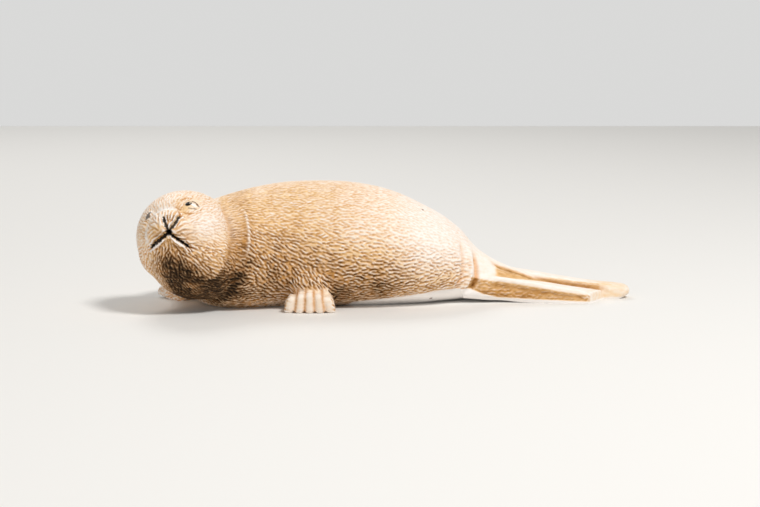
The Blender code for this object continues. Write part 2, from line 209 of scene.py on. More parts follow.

# Brown wash over the body: place, reach, amount. It is the patina settled in the carving. Low on the chest,
# the throat and the flanks it is made heavier as painted shade, where shadow falls under the body.
WASH_AND_SHADE = (
    ((-38.0, -22.0, 5.0), 8.5, 0.48),
    ((-38.5, -19.0, 0.5), 6.0, 0.72),
    ((-41.5, -22.5, 9.5), 4.5, 0.40),
    ((-31.0, -15.0, -2.0), 13.0, 0.64),
    ((-21.5, -13.0, 9.0), 9.0, 0.42),
    ((-8.0, -13.5, 2.0), 8.5, 0.70),
    ((2.0, -12.5, 4.0), 7.0, 0.52),
    ((-13.0, -6.0, 22.0), 9.0, 0.15),
    ((-24.0, -5.0, 21.0), 7.0, 0.16),
    ((-15.0, -13.0, 12.0), 8.0, 0.12),
    ((12.0, -9.0, 4.5), 5.0, 0.30),
    ((-30.0, 9.0, 4.0), 10.0, 0.60),
    ((-8.0, 13.0, 3.0), 11.0, 0.55),
    ((-18.0, 12.0, 12.0), 12.0, 0.15),
)

# Small dark flecks in the resin: place from the side, radius and strength. Their edge is soft.
SPECKS = (((7.8, 18.9), 0.26, 0.9), ((9.4, 1.3), 0.34, 0.8))
SPECK_EDGE = (-0.15, 0.10)

# Paint of the face, by side and up. The nose and the mouth are placed from the middle of the muzzle.
# A line has a half width and a strength.
NOSE_PATHS = (((1.2, -0.3), (0.8, 0.9), (0.0, 2.5)), ((1.5, -0.3), (2.6, 1.3), (3.0, 2.8)))
NOSE_LINE = (0.33, 0.94)
NOSTRIL_PATH = ((2.15, 0.3), (2.6, 1.2))
NOSTRIL_LINE = (0.36, 0.92)
PIT_PLACE = (1.35, -0.65)
PIT_RADIUS = 0.70
PIT_SOFT = 0.2
MOUTH_PATHS = (((1.3, -0.8), (-0.8, -2.1), (-3.8, -3.2)), ((1.3, -0.8), (2.8, -2.1), (4.3, -3.5)))
MOUTH_LINES = ((0.38, 1.0), (0.27, 1.0))
# Pale lower lip: which side of the mouth, first and last point along it, half width and strength.
LIP_STEP = 0.60
LIP_LINES = ((0, 4, 9, 0.26, 0.9), (0, 2, 6, 0.13, 0.9), (1, 1, 7, 0.15, 0.9))
NOSE_CREASES = (((0.75, 2.7), (1.2, 1.5)), ((1.35, 2.7), (1.55, 1.8)), ((2.0, 2.7), (1.95, 1.7)))
CREASE_LINE = (0.15, 0.7)
NEAR_EYE = (4.0, 5.6)
PUPIL_RADIUS = 0.52
# A painted glint, a highlight left out of the pupil's ink: place, radius, and how much of the ink it takes
# out.
PUPIL_PAINTED_GLINT = ((4.2, 5.82), 0.15)
PAINTED_GLINT_STRENGTH = 0.8
SCLERA = ((4.25, 5.55), (5.35, 5.2))
SCLERA_LINE = (0.38, 1.0)
LID = ((4.4, 6.15), (5.0, 5.9), (5.8, 5.15))
LID_LINE = (0.15, 1.0)
UNDER_LID = ((4.3, 4.72), (4.9, 4.6), (5.6, 4.6))
UNDER_LID_LINE = (0.16, 0.6)
# No fur is cut inside this spot: place, radius, soft edge.
EYEBALL_CALM = ((4.6, 5.4), 1.3, 0.3)
HAIR_LINES = (
    ((2.0, 5.1), (2.6, 4.8), (3.1, 4.6)),
    ((3.8, 4.0), (4.7, 3.5), (5.4, 3.6)),
    ((2.4, 6.4), (3.0, 6.9), (4.0, 6.8)),
    ((2.9, 4.2), (3.5, 3.4), (4.3, 2.9)),
)
HAIR_LINE = (0.18, 0.8)
# Wash on the front of the head: side, up, reach, amount.
FACE_WASH = (
    (3.2, 4.6, 2.2, 0.26),
    (-0.6, -0.8, 1.8, 0.48),
    (4.3, -0.7, 1.8, 0.42),
    (2.1, 2.3, 1.2, 0.14),
    (-4.6, 1.6, 2.0, 0.16),
    (1.2, -5.2, 3.0, 0.34),
)
FACE_FRONT = (0.0, 3.0)
FAR_EYE = ((-4.55, 3.0), (-3.75, 4.1))
FAR_EYE_LINE = (0.58, 0.8)
# A painted glint on the far eye: place and radius.
FAR_PAINTED_GLINT = (-3.45, 4.45)
FAR_PAINTED_GLINT_RADIUS = 0.24
# A painted line's width wavers along it: share and pace. It thins towards its ends.
WAVER = ((0.20, 5.3), (0.13, 11.7))
WAVER_SHIFT = 7
THIN_END = 0.6
PAINT_SOFT = 0.11
SPOT_SOFT = 0.08

# Regions of the head. Most pairs are where a region starts and where it is full.
MOUTH_RUN_ON = ((-4, -1), (4, -2))
HEAD_REACH = (11.0, 14.0)
MUZZLE_EDGE = (0.90, 1.05)
MUZZLE_AHEAD = (5.0, 7.0)
MUZZLE_ABOVE = (-0.4, 0.0)
RIM = (0.93, 0.09)
RIM_AHEAD = (4.0, 6.0)
RIM_ABOVE = (0.5, 1.5)
RIM_SIDE_END = (0.5, 3.0)
THROAT_DROP = (1.0, 4.0)
THROAT_AHEAD = (0.0, 5.0)
# The cheek that faces the light, painted pale as a highlight: side, up, amount. Then its reach, and how far
# back it goes.
CHEEK_HIGHLIGHT = (7.2, 1.2, 0.6)
CHEEK_REACH = (2.8, 3.4)
CHEEK_BACK = -4

# Brown of the neck: start and end from the head's middle, start behind it and sideways, amount.
NECK_WASH = ((9.1, 9.7), (12.8, 16.0), (0, 6), (0.0, 4.0), 0.27)

# Regions of the tail. Its pale edge: X, height. The leaf between the flippers: X, Y, half width.
BAND_EDGE = (-0.15, 0.25)
TAIL_START = (-0.4, 0.3)
TAIL_EDGE = ((17.6, 2.9), (20.0, 1.9), (23.0, 1.1), (30.0, 0.8), (42.0, 0.3))
FLIPPER_SIDE = (0.74, 0.84)
LOW_SIDE = (0.1, 0.6)
SIDE_FACING = (0.2, 0.6)
SIDE_END = (41.2, 41.9)
TIP_REACH = (39.5, 45.5)
LEAF = ((22.8, -3.0, 1.3), (26.0, -2.6, 1.7), (30.0, -1.7, 1.5), (34.0, -0.9, 1.2), (44.0, -0.2, 0.9))
LEAF_EDGE = (0.7, 1.2)
LEAF_FACING = (-0.3, 0.2)
LEAF_START = (-0.8, 0.4)
LEAF_END = (43.6, 44.6)
TAIL_WASH = 0.07
SIDE_WASH = 0.53
LOW_SIDE_WASH = 0.14
LEAF_WASH = 0.44
TIP_WASH = 0.12
TAIL_STROKES = (0.40, 0.36)
# The top of the rump, which takes a painted highlight: X and Z where it starts and where it is full.
RUMP_X = (-2.0, 10.0)
RUMP_Z = (4.0, 11.0)

# Regions of the paws: half width in toes, edge above the toes, length with its wavy edge.
PAW_HALF = 2.7
PAW_EDGE = (0.0, 0.5)
PAW_RISE = 0.2
PAW_TOP = (0.0, 0.6)
PAW_LENGTH = 4.3
PAW_WAVE = (0.5, 2.4)
PAW_BACK = (0.0, 0.8)
TOE_LINE = 0.30
TOE_LINES_HALF = 2.4
TOE_LINES_EDGE = (0.0, 0.3)
TOE_LINES_CLEAR = (1.0, 0.3)

# Strength of the strokes: low on the flank, over the rump and on the head.
RIM_CALM = 0.65
LOW_FLANK = (0.35, 0.80)
BACK_TO_FLANK = (0.55, 0.9)
RUMP_START = (-6.0, 10.0)
VIGOUR = 0.75
MORE_VIGOUR = 0.25

# How pale each region is kept, and how dark the carved lines. The sheen on ridges, the pale top of the rump
# and the pale cheek are painted highlights.
RIM_PALE = 0.9
TAIL_PALE = 0.45
TIP_CLEAR = 0.3
TOES_PALE = 0.35
RUMP_HIGHLIGHT = 0.6
TOES_CLEAN = 0.7
TOE_STAIN = 0.8
GROOVE_STAIN = 0.85
NARROW = 0.55
RIDGE_PAINTED_SHEEN = 0.32


def smooth_rows(rows, count):
    """Catmull-Rom values between the rows of a station table."""
    rows = np.array(rows, float)
    padded = np.vstack([2 * rows[0] - rows[1], rows, 2 * rows[-1] - rows[-2]])
    made = []
    for place in np.linspace(0, len(rows) - 1, count):
        i = min(int(place), len(rows) - 2)
        t = place - i
        a, b, c, d = padded[i : i + 4]
        made.append(
            0.5 * (2 * b + (c - a) * t + (2 * a - 5 * b + 4 * c - d) * t**2 + (3 * b - a - 3 * c + d) * t**3)
        )
    return np.array(made)


def superellipse(angle, roundness):
    power = 2 / roundness
    x, y = math.cos(angle), math.sin(angle)
    return math.copysign(abs(x) ** power, x), math.copysign(abs(y) ** power, y)


def placed(name, data):
    made = bpy.data.objects.new(name, data)
    bpy.context.scene.collection.objects.link(made)
    return made


def finished(name, mesh):
    data = bpy.data.meshes.new(name)
    mesh.to_mesh(data)
    mesh.free()
    return placed(name, data)


def loft(name, stations, roundness, rings=60, around=48, widest=0.5, cut_slope=0.0):
    """A closed skin over sections that stand across the line of the stations."""
    rows = smooth_rows(stations, rings)
    along = np.gradient(rows[:, :2], axis=0)
    along /= np.linalg.norm(along, axis=1)[:, None]
    mesh = bmesh.new()
    loops = []
    for (x, y, half_width, top, bottom), (ax, ay) in zip(rows, along):
        level = bottom + (top - bottom) * widest
        loop = []
        for k in range(around):
            across, height = superellipse(2 * math.pi * k / around, roundness)
            z = level + (top - level if height > 0 else level - bottom) * height
            side = half_width * across
            slide = cut_slope * side * (x - rows[0][0]) / (rows[-1][0] - rows[0][0])
            px, py = x - ay * side + slide, y + ax * side
            loop.append(mesh.verts.new((px * MM, py * MM, z * MM)))
        loops.append(loop)
    for first, second in zip(loops, loops[1:]):
        for k in range(around):
            j = (k + 1) % around
            mesh.faces.new((first[k], first[j], second[j], second[k]))
    mesh.faces.new(loops[0][::-1])
    mesh.faces.new(loops[-1])
    bmesh.ops.recalc_face_normals(mesh, faces=mesh.faces)
    return finished(name, mesh)


def ovoid(name, place, radii, turn=None):
    """An ellipsoid with these radii, in a frame given by a 3x3 matrix."""
    mesh = bmesh.new()
    bmesh.ops.create_uvsphere(mesh, u_segments=48, v_segments=32, radius=1.0)
    turned = (turn or Matrix.Identity(3)).to_4x4()
    size = Matrix.Diagonal((*[r * MM for r in radii], 1.0))
    mesh.transform(Matrix.Translation(Vector(place) * MM) @ turned @ size)
    return finished(name, mesh)


def head_frame():
    """Columns: towards the seal's left cheek, up through the crown, and forward through the nose."""
    turn, lift, tilt = (math.radians(a) for a in (HEAD_TURN, HEAD_LIFT, HEAD_TILT))
    forward = Vector((-math.cos(turn) * math.cos(lift), -math.sin(turn) * math.cos(lift), math.sin(lift)))
    level = Vector((0, 0, 1)).cross(forward).normalized()
    upright = forward.cross(level)
    side = level * math.cos(tilt) - upright * math.sin(tilt)
    up = upright * math.cos(tilt) + level * math.sin(tilt)
    return Matrix((side, up, forward)).transposed()


def in_head(point):
    return Vector(HEAD_PLACE) + head_frame() @ Vector(point)


def head_pieces():
    turned = head_frame()
    made = [
        ovoid("skull", HEAD_PLACE, HEAD_RADII, turned),
        ovoid("muzzle", in_head(MUZZLE_PLACE), MUZZLE_RADII, turned),
        ovoid("jaw", in_head(JAW_PLACE), JAW_RADII, turned),
    ]
    for hand in (-1, 1):
        place = (hand * CHEEK_PLACE[0], *CHEEK_PLACE[1:])
        made.append(ovoid("cheek", in_head(place), CHEEK_RADII, turned))
    return made


def plan_direction(turn):
    turn = math.radians(turn)
    return Vector((-math.cos(turn), -math.sin(turn)))


def paw_pieces(tip, turn, tips):
    """Five toes as rounded blocks, gathered towards the top and pared at the tips."""
    ahead = plan_direction(turn)
    across = Vector((-ahead.y, ahead.x))
    made = []
    for k in range(TOE_COUNT):
        step = k - (TOE_COUNT - 1) / 2
        share = 2 * step / (TOE_COUNT - 1)
        height = TOE_HEIGHT - OUTER_TOE_DROP * share**2
        mesh = bmesh.new()
        bmesh.ops.create_cube(mesh, size=1.0)
        size = Vector((TOE_LENGTH, TOE_WIDTH, height + TOE_ROUNDING)) * MM
        bmesh.ops.scale(mesh, vec=size, verts=mesh.verts)
        for corner in mesh.verts:
            if corner.co.x > 0:
                corner.co.z += (-tips[0] if corner.co.z > 0 else tips[1]) * MM
            if corner.co.z > 0:
                corner.co.y -= TOE_GATHER * step * MM
        bmesh.ops.bevel(
            mesh, geom=mesh.edges, offset=TOE_ROUNDING * MM, segments=4, profile=0.5, affect="EDGES"
        )
        heading = math.atan2(ahead.y, ahead.x) + math.radians(TOE_SPLAY) * step
        back = TOE_LENGTH / 2 + OUTER_TOE_BACK * share**2
        middle = Vector(tip) + across * (TOE_PITCH * step) - ahead * back
        place = Vector((middle.x, middle.y, (height - TOE_ROUNDING) / 2)) * MM
        mesh.transform(Matrix.Translation(place) @ Matrix.Rotation(heading, 4, "Z"))
        made.append(finished("toe", mesh))
    return made


def forearm(tip, turn, hand):
    """The swell of the limb behind the toes. It leans towards the head; the hand is -1 on the left."""
    place = Vector(tip) - plan_direction(turn) * FOREARM_SET_BACK
    lean = Matrix.Rotation(math.radians(hand * FOREARM_LEAN), 3, "Y")
    turned = Matrix.Rotation(math.radians(turn - 90), 3, "Z") @ lean
    return ovoid("arm", (place.x, place.y, FOREARM_HEIGHT), FOREARM_RADII, turned)


def fused(name, pieces, voxel, passes):
    """One skin over overlapping closed pieces, with its junctions smoothed."""
    mesh = bmesh.new()
    for piece in pieces:
        mesh.from_mesh(piece.data)
        bpy.data.objects.remove(piece)
    made = finished(name, mesh)
    skin = made.modifiers.new("one_skin", "REMESH")
    skin.mode = "VOXEL"
    skin.voxel_size = voxel * MM
    soften = made.modifiers.new("soften", "SMOOTH")
    soften.factor = 0.5
    soften.iterations = passes
    graph = bpy.context.evaluated_depsgraph_get()
    data = bpy.data.meshes.new_from_object(made.evaluated_get(graph))
    made.modifiers.clear()
    made.data = data
    return made


def rows_of(mesh, field):
    rows = np.empty(len(mesh.vertices) * 3)
    mesh.vertices.foreach_get(field, rows)
    return rows.reshape(-1, 3)


def on_skin(tree, start, heading):
    """Where a straight line first meets the figure, or the skin nearest to its start if it passes by."""
    start = Vector(start) * MM
    place = tree.ray_cast(start, Vector(heading))[0] or tree.find_nearest(start)[0]
    return np.array(place) / MM


def on_face(tree, places):
    """Places by side and up, cast onto the face from straight in front."""
    ahead = head_frame().col[2]
    return [on_skin(tree, in_head((side, up, CAST_FROM)), -ahead) for side, up in places]


def face_line(tree, first, last, middle=(0.0, 0.0)):
    """A straight line on the face, between two places from this middle."""
    return on_face(tree, np.linspace(first, last, MARK_POINTS) + np.array(middle))


def drawn(tree, places, middle=(0.0, 0.0)):
    """A smooth line on the face, through a few places from this middle."""
    return on_face(tree, smooth_rows(places, MARK_POINTS) + np.array(middle))


def from_the_side(tree, places, hand):
    """A line drawn on the left side (hand -1) or the right side (hand 1), by X and Z."""
    return [on_skin(tree, (x, hand * CAST_FROM, z), (0, -hand, 0)) for x, z in places]


def trunk_height(x):
    """Underside and top of the trunk at these X."""
    rows = np.array(sorted(TRUNK))
    return np.interp(x, rows[:, 0], rows[:, 4]), np.interp(x, rows[:, 0], rows[:, 3])


def at_height(stations, x, share):
    """X, and the Z at this share of the height there."""
    rows = np.array(sorted(stations))
    top, bottom = (np.interp(x, rows[:, 0], rows[:, k]) for k in (3, 4))
    return x, bottom + share * (top - bottom)


def along_path(points, path):
    """Distance of each point from a line through a few places, the way walked along it, and its length."""
    nearest = np.full(len(points), np.inf)
    walked = np.zeros(len(points))
    length = 0.0
    for a, b in zip(path, path[1:]):
        step = b - a
        size = np.linalg.norm(step)
        share = np.clip((points - a) @ step / size**2, 0, 1)
        away = np.linalg.norm(points - a - share[:, None] * step, axis=1)
        closer = away < nearest
        nearest = np.where(closer, away, nearest)
        walked = np.where(closer, length + share * size, walked)
        length += size
    return nearest, walked, length


def strength_near(points, path, width, fade):
    """1 on a carved line, falling off over its half width and fading at its ends."""
    nearest, walked, length = along_path(points, path)
    ends = np.clip(np.minimum(walked, length - walked) / fade, 0, 1) if fade else 1
    return np.exp(-((nearest / width) ** 2)) * ends


def step_up(value, low, high):
    """0 below low, 1 above high, smooth between."""
    t = np.clip((value - low) / (high - low), 0, 1)
    return t * t * (3 - 2 * t)


class Cells:
    """Points sorted into boxes, so that those near a place are found quickly."""

    def __init__(self, points, size):
        self.size = size
        self.low = points.min(axis=0)
        keys = ((points - self.low) // size).astype(int)
        self.shape = keys.max(axis=0) + 3
        codes = np.ravel_multi_index((keys + 1).T, self.shape)
        self.order = np.argsort(codes, kind="stable")
        self.codes = codes[self.order]

    def near(self, place):
        middle = ((place - self.low) // self.size).astype(int) + 1
        found = []
        for i in (-1, 0, 1):
            for j in (-1, 0, 1):
                cell = middle + (i, j, -1)
                first = np.ravel_multi_index(np.clip(cell, 0, self.shape - 1), self.shape)
                a, b = np.searchsorted(self.codes, (first, first + 3))
                found.append(self.order[a:b])
        return np.concatenate(found)


def hill(first, second, place, reach):
    """1 at this place, falling off over this reach in both directions."""
    return np.exp(-(((first - place[0]) / reach[0]) ** 2) - ((second - place[1]) / reach[1]) ** 2)


def unit(rows):
    return rows / np.maximum(np.linalg.norm(rows, axis=1), 1e-9)[:, None]


def on_head(points):
    """Side, up and forward of each point, from the middle of the head."""
    return (points - np.array(HEAD_PLACE)) @ np.array(head_frame())


def paw_local(points, tip, turn):
    """Way behind the toe tips, and across the paw."""
    ahead = np.array(plan_direction(turn))
    away = points[:, :2] - np.array(tip)
    return -(away @ ahead), away @ np.array((-ahead[1], ahead[0]))


def waist_line(share):
    """X of the rolled edge of the coat at this share of the trunk's height."""
    rows = np.array(WAIST_LINE[::-1])
    return np.interp(share, rows[:, 1], rows[:, 0])


def mouth_line(side):
    """Height of the mouth at this side, from the middle of the head. It runs on past its corners."""
    pit = np.array(NOSE_PIT) + MUZZLE_PLACE[:2]
    far, near = (np.array(corner) + MUZZLE_PLACE[:2] for corner in MOUTH_CORNERS)
    past_far, past_near = far + MOUTH_RUN_ON[0], near + MOUTH_RUN_ON[1]
    sides, heights = np.array((past_far, far, pit, near, past_near)).T
    return np.interp(side, sides, heights)


def face_regions(points):
    """The head, and on it the muzzle, its pale rim, the throat and the cheek that takes a painted highlight.
    """
    side, up, ahead = on_head(points).T
    away = np.linalg.norm(points - np.array(HEAD_PLACE), axis=1)
    head = 1 - step_up(away, *HEAD_REACH)
    dome = np.hypot((side - MUZZLE_PLACE[0]) / MUZZLE_RADII[0], (up - MUZZLE_PLACE[1]) / MUZZLE_RADII[1])
    above = up - mouth_line(side)
    left = 1 - step_up(side - MUZZLE_PLACE[0], *RIM_SIDE_END)
    rim = np.exp(-(((dome - RIM[0]) / RIM[1]) ** 2))
    muzzle = (1 - step_up(dome, *MUZZLE_EDGE)) * step_up(ahead, *MUZZLE_AHEAD)
    return {
        "head": head,
        "muzzle": muzzle * step_up(above, *MUZZLE_ABOVE),
        "rim": rim * step_up(ahead, *RIM_AHEAD) * step_up(above, *RIM_ABOVE) * left,
        "throat": head * step_up(-up, *THROAT_DROP) * step_up(ahead, *THROAT_AHEAD),
        "cheek": hill(side, up, CHEEK_HIGHLIGHT[:2], CHEEK_REACH) * (ahead > CHEEK_BACK),
    }


def paw_regions(points):
    """The bare toes, and the lines between them."""
    toes, between = np.zeros(len(points)), np.zeros(len(points))
    z = points[:, 2]
    for (tip, turn, _), clear in zip((NEAR_PAW, FAR_PAW), TOE_LINES_CLEAR):
        behind, across = paw_local(points, tip, turn)
        pitch = TOE_PITCH - TOE_GATHER * z / TOE_HEIGHT
        inside = step_up(PAW_HALF * pitch - np.abs(across), *PAW_EDGE)
        inside *= step_up(TOE_HEIGHT + PAW_RISE - z, *PAW_TOP)
        inside *= step_up(PAW_LENGTH - behind + PAW_WAVE[0] * np.sin(PAW_WAVE[1] * across), *PAW_BACK)
        toes = np.maximum(toes, inside)
        step = across / pitch
        off = np.abs(step - np.floor(step) - 0.5) * pitch
        line = np.exp(-((off / TOE_LINE) ** 2)) * step_up(TOE_LINES_HALF - np.abs(step), *TOE_LINES_EDGE)
        between = np.maximum(between, clear * inside * line)
    return {"toes": toes, "between_toes": between}


def tail_regions(points, normals, share):
    """The pale band below the coat, the tail, and on it the tan sides, the leaf and the tip."""
    x, y, z = points.T
    bottom, top = trunk_height(x)
    edge = bottom + np.interp(x, *np.array(COAT_EDGE).T) * (top - bottom)
    edge = np.where(x > TAIL_EDGE[0][0], np.interp(x, *np.array(TAIL_EDGE).T), edge)
    band = np.where(x > COAT_EDGE[0][0], 1 - step_up(z - edge, *BAND_EDGE), 0.0)
    tail = step_up(x - waist_line(np.clip(share, 0.0, 1.0)), *TAIL_START)
    rows = np.array(NEAR_FLIPPER)
    low, high = (np.interp(x, rows[:, 0], rows[:, k]) for k in (4, 3))
    level = (z - low) / (high - low)
    side = (1 - step_up(level, *FLIPPER_SIDE)) * step_up(np.abs(normals[:, 1]), *SIDE_FACING)
    middle, wide = np.interp(x, *np.array(LEAF)[:, :2].T), np.interp(x, *np.array(LEAF)[:, ::2].T)
    leaf = (1 - step_up(np.abs(y - middle) / wide, *LEAF_EDGE)) * step_up(normals[:, 2], *LEAF_FACING)
    leaf *= step_up(x, LEAF[0][0] + LEAF_START[0], LEAF[0][0] + LEAF_START[1])
    ends = 1 - step_up(x, *SIDE_END)
    return {
        "band": band,
        "tail": tail,
        "side": tail * side * ends * (1 - band),
        "low_side": 1 - step_up(level, *LOW_SIDE),
        "leaf": tail * leaf * (1 - step_up(x, *LEAF_END)),
        "tip": step_up(x, *TIP_REACH),
    }


def regions(points, normals):
    """Where each kind of surface lies: weights from 0 to 1 for every point."""
    x, z = points[:, 0], points[:, 2]
    bottom, top = trunk_height(x)
    share = (z - bottom) / (top - bottom)
    made = {"share": share, **face_regions(points), **paw_regions(points)}
    made.update(tail_regions(points, normals, share))
    coat = (1 - made["tail"]) * (1 - made["toes"])
    coat = np.maximum(coat, np.maximum(TAIL_STROKES[0] * made["side"], TAIL_STROKES[1] * made["leaf"]))
    made["coat"] = coat * (1 - made["band"]) * (1 - RIM_CALM * made["rim"])
    low = 1 - step_up(share, *LOW_FLANK)
    rump = step_up(x, *RUMP_START)
    body = VIGOUR + MORE_VIGOUR * low - MORE_VIGOUR * rump * (1 - low)
    made["vigour"] = body * (1 - made["head"]) + made["head"] * (VIGOUR + MORE_VIGOUR * made["throat"])
    # The top of the rump, kept pale as a painted highlight.
    made["rump"] = step_up(x, *RUMP_X) * step_up(z, *RUMP_Z) * (1 - made["tail"])
    return made


def flow(points, normals, where):
    """The way that the fur lies, along the skin."""
    pit = np.array(MUZZLE_PLACE[:2]) + NOSE_PIT
    from_nose = unit(points - np.array(in_head((*pit, FACE_CENTRE_AHEAD))))
    from_nose[:, 0] += FACE_LEAN
    x, y, z = points.T
    trunk = np.tile((1.0, 0.0, 0.0), (len(points), 1))
    near = step_up(-y, *NEAR_SIDE)
    for place, reach, amount in SIDE_TURNS:
        trunk[:, 2] -= amount * hill(x, z, place, reach) * near
    place, reach, down = WRIST_TURN
    wrist = hill(x - NEAR_PAW[0][0], z, place, reach) * near
    trunk += wrist[:, None] * np.array(down)
    head = where["head"][:, None]
    lie = unit(trunk) * (1 - head) + unit(from_nose) * head
    lie -= normals * np.sum(lie * normals, axis=1)[:, None]
    return unit(lie)


def stroke_sizes(where):
    """Way between rows, length, half width and depth of a stroke at each point."""
    low = 1 - step_up(where["share"], *BACK_TO_FLANK)
    rows = np.array(BACK_STROKE) + low[:, None] * (np.array(FLANK_STROKE) - np.array(BACK_STROKE))
    for region, stroke in (("head", HEAD_STROKE), ("throat", THROAT_STROKE), ("muzzle", MUZZLE_STROKE)):
        share = where[region][:, None]
        rows = rows * (1 - share) + np.array(stroke) * share
    return rows


def stroke_sites(points, lie, sizes, coat):
    """Places of the strokes, none of them nearer to another than its size allows."""
    chance = np.random.default_rng(STROKE_SEED)
    allowed = np.flatnonzero(coat > LEAST_COAT)
    order = chance.permutation(allowed)[:STROKE_CANDIDATES]
    taken = {}
    kept = []
    span, rows = SITE_SPREAD
    for n in order:
        p = points[n]
        key = tuple((p // CELL).astype(int))
        beside = [
            m
            for i in (-1, 0, 1)
            for j in (-1, 0, 1)
            for k in (-1, 0, 1)
            for m in taken.get((key[0] + i, key[1] + j, key[2] + k), ())
        ]
        if beside:
            apart = points[beside] - p
            along = apart @ lie[n]
            across = np.maximum(np.sum(apart * apart, axis=1) - along**2, 0)
            if np.any((along / (sizes[n, 1] * span)) ** 2 + across / (sizes[n, 0] * rows) ** 2 < 1):
                continue
        taken.setdefault(key, []).append(n)
        kept.append(n)
    return np.array(kept)


def cut_strokes(points, normals, lie, sizes, coat, sites):
    """How far each point is lowered by the strokes, how much it is inside one, and the painted highlight on
    the upper edge beside one.
    """
    chance = np.random.default_rng(STROKE_SEED + 1)
    cells = Cells(points, CELL)
    lift = np.zeros(len(points))
    inside = np.zeros(len(points))
    painted_highlight = np.zeros(len(points))
    for n in sites:
        turn = math.radians(chance.normal(0.0, STROKE_SWAY))
        bend = chance.normal(0.0, STROKE_BEND)
        _, length, width, depth = sizes[n] * chance.uniform(*STROKE_SHARES)
        across = np.cross(normals[n], lie[n])
        ahead = lie[n] * math.cos(turn) + across * math.sin(turn)
        across = np.cross(normals[n], ahead)
        near = cells.near(points[n])
        away = points[near] - points[n]
        s = away @ ahead
        w = away @ across - bend * s * s
        t = s / length + 0.5
        live = (t > 0) & (t < 1) & (np.abs(w) < 2 * BURR_PLACE * width)
        live &= np.abs(away @ normals[n]) < STROKE_BELOW
        near, w, t = near[live], w[live], t[live]
        taper = np.minimum(t / STROKE_START, 1.0) * np.sqrt(np.maximum(1 - t, 0)) * STROKE_GAIN
        share = min(1.0, coat[n])
        hollow = np.exp(-((w / width) ** 2)) * taper
        burr = np.exp(-(((np.abs(w) - BURR_PLACE * width) / width) ** 2)) * taper
        stained, edge = chance.uniform(*STAIN_SHARE), max(0.0, chance.normal(*HIGHLIGHT_SHARE))
        # Only the upper edge takes the painted highlight, as the light falls from above.
        upper = w * across[2] > 0
        lift[near] += depth * share * (BURR * burr - hollow)
        stain = np.exp(-((w / (STAIN_WIDTH * width)) ** 2)) * np.minimum(taper, 1) * stained
        inside[near] = np.maximum(inside[near], stain * share)
        painted_highlight[near] = np.maximum(painted_highlight[near], edge * burr * upper * share)
    return lift, inside, painted_highlight * (1 - inside)


def lines_of_the_figure(tree):
    """Carved lines: depth, half width, fade at the ends (0 for a line of the face), path."""
    middle = MUZZLE_PLACE[:2]
    cuts = [(*NOSE_CUT, 0, face_line(tree, NOSE_PIT, arm, middle)) for arm in NOSE_ARMS]
    cuts.append((*NOSTRIL_CUT, 0, face_line(tree, *NOSTRIL, middle)))
    pit, drop = np.array(NOSE_PIT), np.array((0.0, LIP_DROP))
    for corner in MOUTH_CORNERS:
        cuts.append((*MOUTH_CUT, 0, face_line(tree, pit, corner, middle)))
        lip = [pit + (np.array(corner) - pit) * share - drop for share in LIP_REACH]
        cuts.append((*LIP_RIDGE, 0, face_line(tree, *lip, middle)))
    foot = []
    for angle in np.radians(np.linspace(*MUZZLE_FOOT_ARC, MARK_POINTS * 2)):
        side = middle[0] + MUZZLE_RADII[0] * MUZZLE_FOOT_SHARE * math.cos(angle)
        up = middle[1] + MUZZLE_RADII[1] * MUZZLE_FOOT_SHARE * math.sin(angle)
        foot.append((side, up))
    cuts.append((*MUZZLE_FOOT_CUT, 0, on_face(tree, foot)))
    for socket in SOCKETS:
        first, last = np.array(socket)
        centre, reach = (first + last) / 2, (last - first) / 2 * EYEBALL_SHARE
        cuts.append((*SOCKET_CUT, 0, face_line(tree, first, last)))
        cuts.append((*EYEBALL_RIDGE, 0, face_line(tree, centre - reach, centre + reach)))
    for radius, first, last, depth, width in NECK_FOLDS:
        angles = np.radians(np.linspace(first, last, MARK_POINTS))
        x = HEAD_PLACE[0] + radius * np.cos(angles)
        z = HEAD_PLACE[2] + radius * np.sin(angles)
        cuts.append((depth, width, NECK_FADE, from_the_side(tree, zip(x, z), -1)))
    for step, depth, width in WAIST_ROLL:
        places = [at_height(TRUNK, x + step, share) for x, share in smooth_rows(WAIST_LINE, MARK_POINTS)]
        cuts += [(depth, width, FADE, from_the_side(tree, places, hand)) for hand in (-1, 1)]
    edge = [at_height(TRUNK, x, share) for x, share in smooth_rows(COAT_EDGE[:-1], MARK_POINTS * 2)]
    cuts += [(*COAT_EDGE_CUT, FADE, from_the_side(tree, edge, hand)) for hand in (-1, 1)]
    for share, depth, width in (FLIPPER_BEAD, FLIPPER_HOLLOW):
        places = [at_height(NEAR_FLIPPER, x, share) for x in np.linspace(*FLIPPER_MARKS_REACH, MARK_POINTS)]
        cuts.append((depth, width, FADE, from_the_side(tree, places, -1)))
    cleft = [on_skin(tree, (x, y, CAST_FROM), (0, 0, -1)) for x, y in smooth_rows(CLEFT, MARK_POINTS)]
    cuts.append((*CLEFT_CUT, FADE, cleft))
    return cuts


